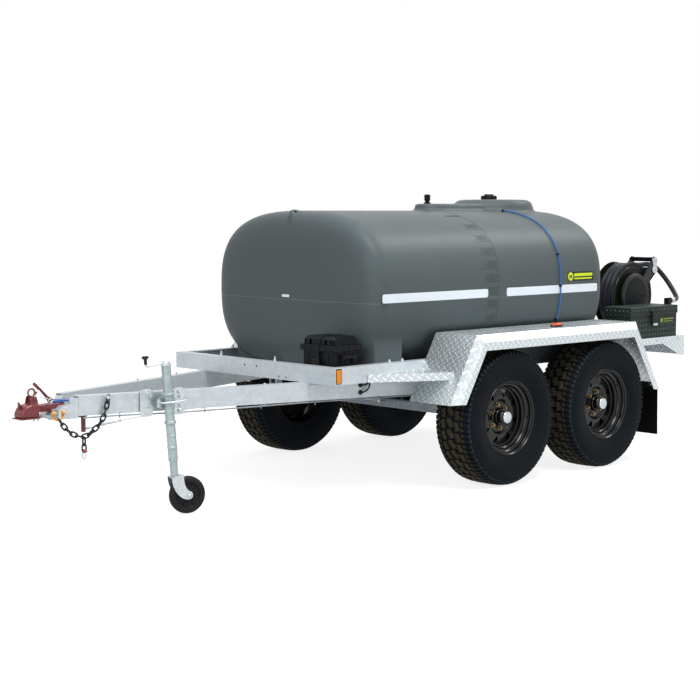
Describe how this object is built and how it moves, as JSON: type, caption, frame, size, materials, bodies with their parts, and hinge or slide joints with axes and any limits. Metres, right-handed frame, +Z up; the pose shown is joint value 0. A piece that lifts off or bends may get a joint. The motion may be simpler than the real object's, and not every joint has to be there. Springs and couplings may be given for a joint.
{
  "type": "fuel tank trailer",
  "caption": "Tandem axle galvanised trailer carrying a grey poly diesel tank, hose reel, pump box and battery box, with a swing-up jockey wheel and an override coupling.",
  "frame": {"origin": "on the ground at the middle of the length and width", "axes": "+X to the rear, -X along the drawbar, -Y the near side with the jockey wheel, +Z up"},
  "size_m": [5.0665, 2.104, 1.713],
  "materials": {
    "galvanised": "galvanised, dull spangle",
    "checker_plate": "checker plate",
    "black_steel": "satin black",
    "tyre_rubber": "matt, dusty",
    "black_rubber": "matt",
    "grey_poly": "moulded, fine grain",
    "dark_plastic": "satin",
    "red_paint": "gloss paint",
    "blue_plastic": "satin",
    "red_lens": "clear gloss"
  },
  "bodies": {
    "trailer": {"drawbar_near": "galvanised", "drawbar_far": "galvanised", "coupling_mount": "galvanised", "safety_chain": "galvanised", "deck_front_rail": "galvanised", "side_rail_near": "galvanised", "side_rail_far": "galvanised", "rocker_near": "galvanised", "rocker_far": "galvanised", "front_axle": "galvanised", "rear_axle": "galvanised", "jockey_bracket": "galvanised", "deck_floor": "checker_plate", "rear_platform": "checker_plate", "mudguard_near": "checker_plate", "mudguard_far": "checker_plate", "spring_front_near": "black_steel", "spring_rear_near": "black_steel", "spring_front_far": "black_steel", "spring_rear_far": "black_steel", "pump_box": "black_steel", "reel_stand": "black_steel", "mudflap_near": "black_rubber", "mudflap_far": "black_rubber", "delivery_hose": "black_rubber", "tank": "grey_poly", "breather": "dark_plastic", "battery_box": "dark_plastic", "nozzle": "dark_plastic", "fuel_pump": "red_paint", "sight_tube": "blue_plastic", "chain_shackle": "blue_plastic", "tail_lamp_near": "red_lens", "tail_lamp_far": "red_lens"},
    "wheel_front_near": {"wheel_rim_front_near": "black_steel", "tyre_front_near": "tyre_rubber"},
    "wheel_rear_near": {"wheel_rim_rear_near": "black_steel", "tyre_rear_near": "tyre_rubber"},
    "wheel_front_far": {"wheel_rim_front_far": "black_steel", "tyre_front_far": "tyre_rubber"},
    "wheel_rear_far": {"wheel_rim_rear_far": "black_steel", "tyre_rear_far": "tyre_rubber"},
    "coupling": {"coupling_head": "red_paint"},
    "coupling_ring": {"coupling_handle": "galvanised"},
    "hand_brake": {"brake_lever": "blue_plastic"},
    "fuel_cap": {"filler_cap": "dark_plastic"},
    "battery_cover": {"battery_lid": "dark_plastic", "battery_strap": "dark_plastic"},
    "pump_lid": {"pump_box_lid": "black_steel"},
    "lid_latch": {"pump_box_latch": "black_rubber"},
    "hose_drum": {"reel_drum": "black_steel", "wound_hose": "black_rubber"},
    "roller_lower": {"guide_roller_lower": "galvanised"},
    "roller_upper": {"guide_roller_upper": "galvanised"},
    "trigger": {"nozzle_trigger": "galvanised"},
    "jockey_post": {"jockey_tube": "galvanised"},
    "crank": {"jockey_crank": "galvanised"},
    "post_leg": {"jockey_leg": "galvanised"},
    "castor_fork": {"jockey_fork": "galvanised"},
    "castor_wheel": {"jockey_wheel": "black_rubber"}
  },
  "joints": [
    {"name": "wheel_front_near_spin", "type": "hinge", "parent": "trailer", "child": "wheel_front_near", "pos_m": [0.2025, -0.9005, 0.4], "axis": [0, 1, 0], "continuous": true},
    {"name": "wheel_rear_near_spin", "type": "hinge", "parent": "trailer", "child": "wheel_rear_near", "pos_m": [1.1315, -0.9005, 0.4], "axis": [0, 1, 0], "continuous": true},
    {"name": "wheel_front_far_spin", "type": "hinge", "parent": "trailer", "child": "wheel_front_far", "pos_m": [0.2025, 0.9005, 0.4], "axis": [0, 1, 0], "continuous": true},
    {"name": "wheel_rear_far_spin", "type": "hinge", "parent": "trailer", "child": "wheel_rear_far", "pos_m": [1.1315, 0.9005, 0.4], "axis": [0, 1, 0], "continuous": true},
    {"name": "coupling_override", "type": "slide", "parent": "trailer", "child": "coupling", "axis": [1, 0, 0], "range_m": [0, 0.06]},
    {"name": "coupling_ring_tip", "type": "hinge", "parent": "coupling", "child": "coupling_ring", "pos_m": [-2.385, 0, 0.645], "axis": [0, 1, 0], "range_deg": [-40, 40]},
    {"name": "brake_lever_pull", "type": "hinge", "parent": "trailer", "child": "hand_brake", "pos_m": [-2.19, 0, 0.6], "axis": [0, 1, 0], "range_deg": [0, 45]},
    {"name": "fuel_cap_lift", "type": "slide", "parent": "trailer", "child": "fuel_cap", "axis": [0, 0, 1], "range_m": [0, 0.15]},
    {"name": "battery_cover_lift", "type": "slide", "parent": "trailer", "child": "battery_cover", "axis": [0, 0, 1], "range_m": [0, 0.2]},
    {"name": "pump_lid_open", "type": "hinge", "parent": "trailer", "child": "pump_lid", "pos_m": [2.0725, -0.4915, 0.9515], "axis": [-1, 0, 0], "range_deg": [0, 90]},
    {"name": "lid_latch_flip", "type": "hinge", "parent": "pump_lid", "child": "lid_latch", "pos_m": [2.068, -0.73, 0.933], "axis": [-1, 0, 0], "range_deg": [0, 120]},
    {"name": "reel_turn", "type": "hinge", "parent": "trailer", "child": "hose_drum", "pos_m": [2.2, -0.3625, 1.011], "axis": [0, 1, 0], "continuous": true},
    {"name": "roller_lower_turn", "type": "hinge", "parent": "trailer", "child": "roller_lower", "pos_m": [2.44, -0.355, 1.193], "axis": [0, 1, 0], "continuous": true},
    {"name": "roller_upper_turn", "type": "hinge", "parent": "trailer", "child": "roller_upper", "pos_m": [2.44, -0.355, 1.257], "axis": [0, 1, 0], "continuous": true},
    {"name": "trigger_squeeze", "type": "hinge", "parent": "trailer", "child": "trigger", "pos_m": [2.4, -0.61, 0.936], "axis": [0, 1, 0], "range_deg": [0, 14], "stiffness_Nm_per_rad": 0.6, "springref_deg": -11.46},
    {"name": "jockey_swing", "type": "hinge", "parent": "trailer", "child": "jockey_post", "pos_m": [-1.749, -0.315, 0.593], "axis": [-0.2785, -0.9604, 0], "range_deg": [0, 90]},
    {"name": "crank_turn", "type": "hinge", "parent": "jockey_post", "child": "crank", "pos_m": [-1.76256, -0.31091, 0.7925], "axis": [-0.0678, 0.0205, 0.9975], "range_deg": [-4800, 9000]},
    {"name": "leg_slide", "type": "slide", "parent": "jockey_post", "child": "post_leg", "axis": [0.0678, -0.0205, -0.9975], "range_m": [-0.08, 0.15]},
    {"name": "fork_swivel", "type": "hinge", "parent": "post_leg", "child": "castor_fork", "pos_m": [-1.72291, -0.32288, 0.20897], "axis": [-0.0678, 0.0205, 0.9975], "continuous": true},
    {"name": "castor_wheel_spin", "type": "hinge", "parent": "castor_fork", "child": "castor_wheel", "pos_m": [-1.65585, -0.34241, 0.10064], "axis": [-0.2785, -0.9604, 0.0008], "continuous": true}
  ],
  "couplings": [
    {"joint": "leg_slide", "follows": "crank_turn", "m_per_rad": 0.00095493}
  ]
}
